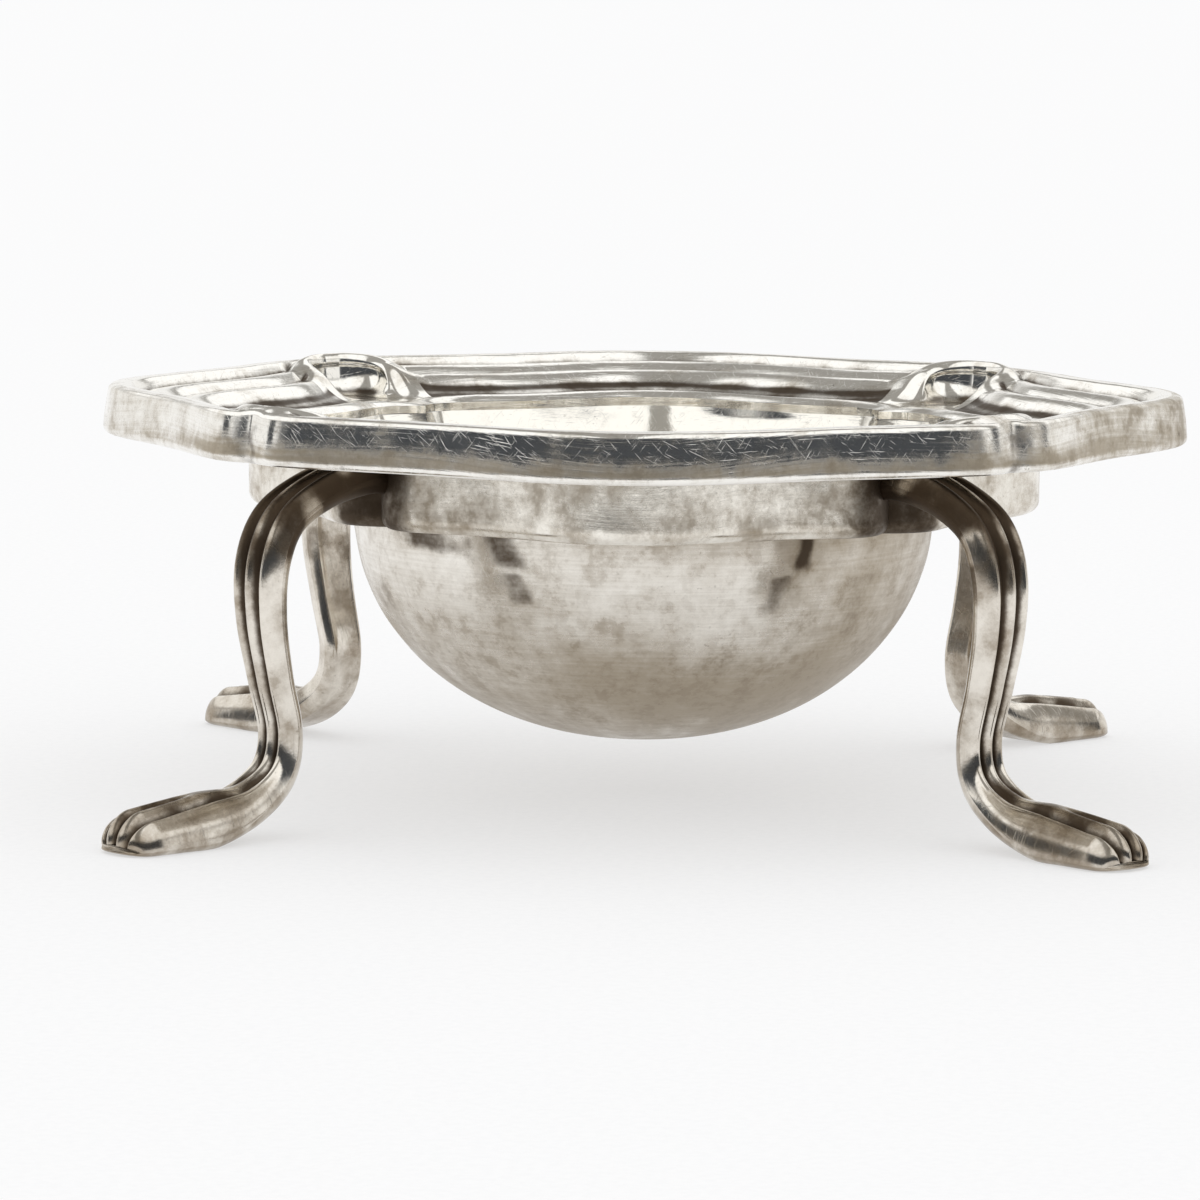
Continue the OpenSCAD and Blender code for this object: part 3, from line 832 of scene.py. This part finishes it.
def along(rows, s):
    """Values along a list of rows on a smooth curve. s counts rows."""
    last = len(rows) - 1
    i = np.minimum(np.floor(s).astype(int), last - 1)
    f = (s - i)[:, None]
    p, q = rows[np.maximum(i - 1, 0)], rows[i]
    r, t = rows[i + 1], rows[np.minimum(i + 2, last)]
    return q + f / 2 * ((r - p) + f * ((2 * p - 5 * q + 4 * r - t) + f * (3 * (q - r) + t - p)))


def toe_shape(x, s):
    """Distance from a toe's middle, 1 at its grooves, at shares x across and rows s."""
    split = REED_EDGE + 0.18 * ramp(s, SPLIT_AT, 3.2)
    apart = np.abs(x) / split
    inner = np.abs(apart - 0.5) * 2
    inner = np.where(apart < 0.5, inner * ramp(s, MIDDLE_GROOVE_AT, 1.4), inner)
    outer = 1 - np.clip((np.abs(x) - split) / (0.4 * (1 - split)), 0, 1)
    return np.where(np.abs(x) < split, inner, outer)


def leg_face(x, s, half, paw):
    """Offset of a leg's face, its dark lines and its toes' shape, at shares x across and rows s."""
    middle = (np.abs(x) / REED_EDGE) ** 2
    outer = (np.abs(np.abs(x) - (1 + REED_EDGE) / 2) / ((1 - REED_EDGE) / 2)) ** 2
    ridges = np.where(np.abs(x) < REED_EDGE, middle, outer)
    strap = half * (1 - 0.2 * x**2 - 0.45 * np.abs(x) ** 9) - REED_DEPTH * ridges

    sole = SOLE_LEVEL * half
    dome = sole + (half - sole) * (1 - np.abs(x) ** 2.05) ** 0.5
    toe = toe_shape(x, s)
    depth = np.minimum(TOE_DEPTH, half * 0.95) * ramp(s, TOES_AT, 1.9)
    pad = dome - depth * 1.25 * (1 - np.sqrt(1 - (0.98 * toe) ** 2)) * (1 - np.abs(x) ** 8)
    blend = ease(paw * 1.15)
    lines = bump(np.abs(x), REED_EDGE, 0.15) * (1 - blend)
    dark = np.maximum(lines, toe**2 * ramp(s, TOES_AT, 1.4))
    return strap + (pad - strap) * blend, dark, toe


def leg_line(s):
    """Points of a leg's centre line in its upright plane, and its direction, at rows s."""
    start = float(lip_r(45))
    level_run = np.array([1.0, 0.0])
    step = 0.02

    def centre(s):
        rows = along(LEG_ROWS, np.clip(s, 0, LAST_ROW))
        return np.stack([start + (TOE_REACH - start) * rows[:, 0], UNDER_Z * rows[:, 1]], axis=1)

    run = centre(s + step) - centre(s - step)
    run = run / np.linalg.norm(run, axis=1)[:, None]
    return centre(s), run + (level_run - run) * ramp(s[:, None], LEVEL_AT, 1.4)


def leg_section(s, half, paw):
    """A leg's closed sections, round its face, side, back and side: shares across, offsets, dark
    lines and the toes' shape."""
    x = np.sin(np.pi / 2 * np.linspace(-1, 1, 105))
    face, dark, toe = leg_face(x, s[:, None], half, paw)
    ones = np.ones_like(half)
    drop = np.linspace(0, 1, 9)[1:]
    knee = half * (-0.35 * (1 - paw) + SOLE_LEVEL * paw)
    side_x = ones * np.ones_like(drop)
    side_off = face[:, -1:] + (knee - face[:, -1:]) * drop
    bevel_x = 1 - (0.28 * (1 - paw) + 0.2 * paw) * drop**1.6
    bevel_off = knee + (-half - knee) * drop
    back_x = np.linspace(1, -1, 14)[1:] * bevel_x[:, -1:]
    across = [x * ones, side_x, bevel_x, back_x]
    across += [-bevel_x[:, -2::-1], -ones, -side_x[:, -2::-1]]
    offset = [face, side_off, bevel_off, -half * np.ones_like(back_x)]
    offset += [bevel_off[:, -2::-1], knee, side_off[:, -2::-1]]
    across = np.concatenate(across, axis=1)
    clear = np.zeros((len(s), across.shape[1] - dark.shape[1]))
    return across, np.concatenate(offset, axis=1), np.concatenate([dark, clear], axis=1), toe


def make_leg(corner, angle):
    """A cabriole strap with three reeds that turns into a paw."""
    surface = Surface()
    strap_rows, paw_rows = np.linspace(0.75, 9, 100), np.linspace(9.05, LAST_ROW - 1.02, 84)
    tip_rows = LAST_ROW - 1 + np.sin(np.linspace(0, np.pi / 2, 40))
    s = np.concatenate([[0.0], strap_rows, paw_rows, tip_rows])
    rows = along(LEG_ROWS, s)
    middle, run = leg_line(s)
    paw = np.clip(rows[:, 4:5], 0, 1)
    full = rows[:, 2:3] * (LEG_T * (1 - paw) + PAW_H * paw)
    width = rows[:, 3:4] * (LEG_W * (1 - paw) + PAW_W * paw)

    # The round nose: thinner, narrower and lifted off the table towards the tip
    from_tip = np.clip((TOE_REACH - middle[:, :1]) / NOSE_R, 0, 1)
    nose = np.sqrt(1 - (1 - from_tip) ** 2)
    half = full * (0.16 + 0.84 * nose)
    middle[:, 1:] += (half - full) + NOSE_LIFT * (1 - nose)
    width = width * (0.8 + 0.2 * nose)

    across, offset, dark, toe = leg_section(s, half, paw)
    x = middle[:, :1] - run[:, 1:] * offset
    z = middle[:, 1:] + run[:, :1] * offset
    x = x - TOE_SWEEP * ramp(s[:, None], SWEEP_AT, 2.5) * np.abs(across) ** 3
    x[:, : toe.shape[1]] -= TOE_NOTCH * (1 - nose) * toe**2
    points = np.stack([x, across * width / 2, z], axis=-1)
    points[1:] = softened(points[1:])
    points[..., 2] = np.clip(points[..., 2], 0, UNDER_Z - 0.01)

    # Its first section lies just inside the collar's wall
    wall_x, wall_y = lip_point(np.linspace(-12, 12, 97), COLLAR_T)
    points[0, :, 0] = np.interp(points[0, :, 1], wall_y, wall_x) - 0.15
    off_face = offset < offset[:, toe.shape[1] - 1 : toe.shape[1]]
    marks = leg_marks(points, dark, paw, off_face)
    index = surface.grid(turned(points, angle), *marks, closed=True)
    surface.cap(index[0][:-1])
    surface.cap(index[-1][:-1])
    return surface.build("silver_leg_" + corner)


def softened(points):
    """Rounds the arrises of a leg's sections a little."""
    before, after = np.roll(points, 1, axis=1), np.roll(points, -1, axis=1)
    return 0.6 * points + 0.2 * (before + after)


def leg_marks(points, dark, paw, off_face):
    """Grime of a leg in its grooves, painted shade in its grime and film up under the rim, and the
    film on its sides and paw.
    """
    z = points[..., 2]
    # Painted shade: high darkens the leg up under the rim, broken into patches
    high = ramp(z, 15.5, 6)
    patches = 0.5 + 0.5 * np.tanh(2 * ripple(points, 4, SEED + 70))
    instep = ramp(z, 6.5, -3) * ramp(z, 2.2, 1.5) * (1 - paw)
    side = off_face * paw * ramp(z, 1.1, 0.5)
    top = paw * ramp(z, 1.6, 0.8) * (1 - off_face)
    grime_and_shade = dark + 0.85 * high**1.7 * (0.3 + 0.7 * patches)
    grime_and_shade = grime_and_shade + (0.6 * instep + 0.7 * side + 0.5 * top) * patches
    grime_and_shade = grime_and_shade + 0.4 * off_face * patches * (1 - paw) * ramp(z, 8, 6)
    # The film's high term is the same painted shade under the rim
    film_and_painted_light = 0.34 + 0.15 * off_face + 0.45 * high + 0.3 * (patches - 0.5) + 0.3 * side
    film_and_painted_light = film_and_painted_light + 0.3 * dark + 0.28 * paw
    return np.clip(grime_and_shade, 0, 1), np.clip(film_and_painted_light, 0, 1)


class Nodes:
    """Short calls that build the node tree of a material or world."""

    def __init__(self, owner):
        owner.use_nodes = True
        self.tree = owner.node_tree
        self.tree.nodes.clear()

    def add(self, kind, **values):
        """A node with its properties and unlinked inputs set."""
        node = self.tree.nodes.new("ShaderNode" + kind)
        for key, value in values.items():
            if key in node.inputs:
                node.inputs[key].default_value = value
            else:
                setattr(node, key, value)
        return node

    def link(self, a, b):
        """Links an output to an input."""
        self.tree.links.new(a, b)

    def math(self, operation, a, b=None, clamp=False):
        """A math node on sockets or numbers."""
        node = self.add("Math", operation=operation, use_clamp=clamp)
        for socket, value in zip(node.inputs, (a, b)):
            if value is None:
                continue
            if isinstance(value, (int, float)):
                socket.default_value = value
            else:
                self.link(value, socket)
        return node.outputs[0]

    def times(self, a, b):
        """The product of two sockets or numbers."""
        return self.math("MULTIPLY", a, b)

    def plus(self, a, b, clamp=False):
        """The sum of two sockets or numbers."""
        return self.math("ADD", a, b, clamp)

    def minus(self, a, b):
        """The difference of two sockets or numbers."""
        return self.math("SUBTRACT", a, b)

    def range(self, value, low, high, to_low=0.0, to_high=1.0):
        """A value mapped smoothly from one range to another."""
        ends = {"From Min": low, "From Max": high, "To Min": to_low, "To Max": to_high}
        node = self.add("MapRange", interpolation_type="SMOOTHSTEP", **ends)
        self.link(value, node.inputs["Value"])
        return node.outputs["Result"]

    def noise(self, vector, scale, detail=4.0, rough=0.55):
        """Noise with a scale per metre."""
        node = self.add("TexNoise", Scale=scale, Detail=detail, Roughness=rough)
        self.link(vector, node.inputs["Vector"])
        return node.outputs["Fac"]

    def mapped(self, vector, scale=(1, 1, 1), turn=(0, 0, 0)):
        """Coordinates scaled and turned."""
        node = self.add("Mapping", Scale=scale, Rotation=turn)
        self.link(vector, node.inputs["Vector"])
        return node.outputs["Vector"]

    def split(self, vector):
        """The three coordinates of a vector."""
        node = self.add("SeparateXYZ")
        self.link(vector, node.inputs[0])
        return node.outputs

    def show(self, kind, shader):
        """Links a shader to an output node."""
        self.link(shader.outputs[0], self.add(kind).inputs["Surface"])

    def box(self, x, y, x_span, y_span, soft=0.12):
        """1 inside a rectangle of two values, with soft edges."""
        sides = []
        for value, (low, high) in ((x, x_span), (y, y_span)):
            inside = self.range(value, low, low + soft), self.range(value, high, high - soft)
            sides.append(self.times(*inside))
        return self.times(*sides)

    def wrapped(self, vector):
        """Coordinates unrolled round the Z axis: the way round, and height with radius."""
        around, out = 0.033, 0.35
        x, y, z = self.split(vector)
        radius = self.math("SQRT", self.plus(self.times(x, x), self.times(y, y)))
        joined = self.add("CombineXYZ")
        self.link(self.times(self.math("ARCTAN2", y, x), around), joined.inputs[0])
        self.link(self.plus(z, self.times(radius, out)), joined.inputs[1])
        return joined.outputs[0]

    def mix(self, factor, a, b):
        """Colours or sockets mixed by a factor."""
        node = self.add("Mix", data_type="RGBA")
        for socket, value in ((node.inputs[0], factor), (node.inputs[6], a), (node.inputs[7], b)):
            if isinstance(value, (int, float)):
                socket.default_value = value
            elif isinstance(value, tuple):
                socket.default_value = (*value, 1)
            else:
                self.link(value, socket)
        return node.outputs[2]


def scratch_lines(n, skin):
    """Thin lines of stretched noise, laid on the surface in four directions."""
    lines = None
    for k, turn in enumerate((0.04, 0.9, 2.2, 0.55)):
        stretched = n.mapped(n.mapped(skin, turn=(0, 0, turn)), (1, 36 + 4 * k, 1))
        line = n.range(n.noise(stretched, 300 + 60 * k, 2, 0.6), 0.63 + 0.01 * k, 0.78)
        lines = line if lines is None else n.math("MAXIMUM", lines, line)
    return lines


def silver(kind):
    """Aged silver: a warm film by the film value and brown dirt by the grime, both with painted
    shade, and scratches.
    """
    bright, filmed, rough, scratches, lines, cloud, matte, wrap = SILVERS[kind]
    material = bpy.data.materials.new(kind + "_silver")
    n = Nodes(material)
    place = n.add("TexCoord").outputs["Object"]
    grime_and_shade = n.add("Attribute", attribute_name="grime_and_shade").outputs["Fac"]
    film_and_painted_light = n.add("Attribute", attribute_name="film_and_painted_light").outputs["Fac"]
    skin = n.wrapped(place) if wrap else place
    broad = n.noise(place, 150, 5, 0.6)
    mid = n.noise(place, 420, 8, 0.72)
    fine = n.noise(place, 900, 6, 0.65)
    speck = n.noise(place, 2600, 3, 0.6)
    polish = n.noise(n.mapped(skin, (1, 50, 1)), 90, 3, 0.6)

    # The film and the dirt, with the painted shade in them, both broken up by noise
    soft = n.times(n.minus(broad, 0.5), 0.6)
    mottle = n.plus(soft, n.times(n.minus(mid, 0.5), 1.7))
    streaks = n.times(n.minus(polish, 0.5), lines * 0.7)
    filmy_with_painted_light = n.range(n.plus(film_and_painted_light, n.plus(n.times(mottle, cloud), streaks)), 0.0, 1.0)
    edge = n.plus(n.times(mid, 0.8), n.times(broad, 0.3))
    dark = n.range(n.minus(n.plus(grime_and_shade, edge), 0.55), 0.16, 0.85)
    dark = n.times(dark, n.range(grime_and_shade, 0.02, 0.3))
    under_film = n.range(film_and_painted_light, 0.1, 0.6)
    stains = n.times(n.range(mid, 0.54, 0.6), under_film)
    grains = n.times(n.range(fine, 0.52, 0.58), under_film)
    specks = n.times(n.range(speck, 0.63, 0.73), n.range(broad, 0.42, 0.6))
    colour = n.mix(filmy_with_painted_light, bright, filmed)
    for mask, strength, tint in (
        (stains, 0.24, STAIN), (grains, 0.16, STAIN), (specks, 0.4, SPECK), (dark, 0.93, TARNISH_AND_SHADE)
    ):
        colour = n.mix(n.times(mask, strength), colour, tint)

    # The film, the dirt and the scratches dull the polish
    cuts = scratch_lines(n, skin)
    gloss = n.range(n.plus(n.times(fine, 0.6), n.times(broad, 0.4)), 0.3, 0.7, *rough)
    gloss = n.plus(gloss, n.times(filmy_with_painted_light, matte))
    gloss = n.plus(gloss, n.times(dark, 0.2))
    gloss = n.plus(gloss, n.times(cuts, 0.08), clamp=True)

    height = n.plus(n.times(fine, 0.55), n.times(speck, 0.14))
    height = n.minus(height, n.times(cuts, scratches))
    height = n.plus(height, n.times(polish, lines))
    relief = n.add("Bump", Strength=0.35, Distance=0.00005)
    n.link(height, relief.inputs["Height"])

    shader = n.add("BsdfPrincipled", Metallic=1.0)
    n.link(colour, shader.inputs["Base Color"])
    n.link(gloss, shader.inputs["Roughness"])
    n.link(relief.outputs["Normal"], shader.inputs["Normal"])
    n.show("OutputMaterial", shader)
    return material


def dress(obj, nodes, material):
    """Gives a piece its material and its place in the frame, and hides the CAD nodes that it stands
    for.
    """
    obj.data.materials.append(material)
    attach(obj, "root")
    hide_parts(*nodes)


def make_object():
    """All the pieces of the salt cellar."""
    silvers = {kind: silver(kind) for kind in SILVERS}
    pieces = [("bowl", "", make_bowl()), ("collar", "", make_collar())]
    pieces += [("rim", "_" + side, make_rim(side, a)) for side, a in SIDES.items()]
    for corner, a in CORNERS.items():
        pieces.append(("shell", "_" + corner, make_shell(corner, a)))
        pieces.append(("leg", "_" + corner, make_leg(corner, a)))
    for kind, place, obj in pieces:
        dress(obj, [kind + place], silvers[kind])


def make_floor():
    """A wide pale table that ends a little in front of the object."""
    mesh = bpy.data.meshes.new("table_top")
    far, front = 30.0, -0.3
    plan = ((-far, front), (far, front), (far, far), (-far, far))
    mesh.from_pydata([(x, y, 0) for x, y in plan], [], [(0, 1, 2, 3)])
    floor = bpy.data.objects.new("table_top", mesh)
    bpy.context.collection.objects.link(floor)
    material = bpy.data.materials.new("pale_table")
    n = Nodes(material)
    grain = n.noise(n.add("TexCoord").outputs["Object"], 1500, 3, 0.6)
    colour = n.mix(n.range(grain, 0.35, 0.7), (0.975, 0.975, 0.978), (0.955, 0.956, 0.96))
    shader = n.add("BsdfPrincipled", Roughness=0.7)
    shader.inputs["Specular IOR Level"].default_value = 0.0
    n.link(colour, shader.inputs["Base Color"])

    # To the camera and in reflections the table glows in part, so that it stays white
    glow = n.add("Emission", Strength=1.0)
    n.link(colour, glow.inputs["Color"])
    path = n.add("LightPath")
    seen = n.math("MAXIMUM", path.outputs["Is Camera Ray"], path.outputs["Is Glossy Ray"])
    both = n.add("MixShader")
    n.link(n.times(seen, 0.55), both.inputs[0])
    n.link(shader.outputs[0], both.inputs[1])
    n.link(glow.outputs[0], both.inputs[2])
    n.show("OutputMaterial", both)
    mesh.materials.append(material)


def make_world():
    """A white studio: pale walls, windows in a grey ceiling, a dark side and two dark panels."""
    white, grey, blind = (1.0, 1.0, 1.0), (0.34, 0.33, 0.31), (0.035, 0.04, 0.048)
    pale_wall, daylight, sky = (0.93, 0.925, 0.91), (1.1, 1.1, 1.09), (0.965, 0.965, 0.965)
    # The windows' spans to the side and ahead, as shares of the height
    windows = (
        ((0.1, 6), (-1.9, 0.3)),
        ((-2.6, -0.42), (-1.9, 1.4)),
        ((-0.2, 4), (0.75, 2.4)),
        ((-4, -0.6), (0.75, 2.4)),
    )
    world = bpy.data.worlds.new("studio")
    bpy.context.scene.world = world
    n = Nodes(world)
    x, y, z = n.split(n.add("TexCoord").outputs["Generated"])

    front = n.range(n.times(y, -1.0), 0.14, 0.4)
    panels = n.box(n.minus(y, n.times(x, 0.08)), z, (-0.05, 0.24), (-0.02, 0.34), 0.05)
    panels = n.times(panels, n.range(n.math("ABSOLUTE", x), 0.3, 0.5))
    dark = n.math("MAXIMUM", n.times(front, n.range(z, 0.42, 0.34)), panels)

    height = n.math("MAXIMUM", z, 0.2)
    across, ahead = n.math("DIVIDE", x, height), n.math("DIVIDE", y, height)
    glass = 0.0
    for x_span, y_span in windows:
        glass = n.math("MAXIMUM", glass, n.box(across, ahead, x_span, y_span))
    wall = n.mix(n.range(z, 0.24, 0.36), pale_wall, grey)
    wall = n.mix(n.times(glass, n.range(z, 0.3, 0.38)), wall, daylight)
    below = n.mix(n.range(z, -0.06, 0.04), grey, blind)
    room = n.mix(n.times(dark, 0.97), wall, below)

    # Reflections show the room, the camera a plain pale backdrop, and the rest lights evenly
    path = n.add("LightPath")
    level = n.mix(path.outputs["Is Glossy Ray"], white, room)
    colour = n.mix(path.outputs["Is Camera Ray"], level, sky)
    back = n.add("Background", Strength=1.0)
    n.link(colour, back.inputs["Color"])
    n.show("OutputWorld", back)


def make_camera():
    """The photograph's camera, from its fitted focal length, distance and angles."""
    lens_px, image_px, sensor = 5921.5, 1200, 36.0
    distance, tilt, roll, turn = 0.41909, 6.488, 0.514, 2.353
    aim = Matrix.Translation((-0.002984, 0, 0.013536))
    data = bpy.data.cameras.new("camera")
    data.sensor_width = sensor
    data.lens = lens_px / image_px * sensor
    data.clip_start = 0.01
    camera = bpy.data.objects.new("camera", data)
    place = Matrix.Rotation(math.radians(turn), 4, "Z") @ aim
    place = place @ Matrix.Rotation(math.radians(90 - tilt), 4, "X")
    place = place @ Matrix.Rotation(math.radians(roll), 4, "Z")
    camera.matrix_world = place @ Matrix.Translation((0, 0, distance))
    bpy.context.collection.objects.link(camera)
    bpy.context.scene.camera = camera


bpy.context.scene.view_settings.view_transform = "Standard"
make_object()
make_floor()
make_world()
make_camera()
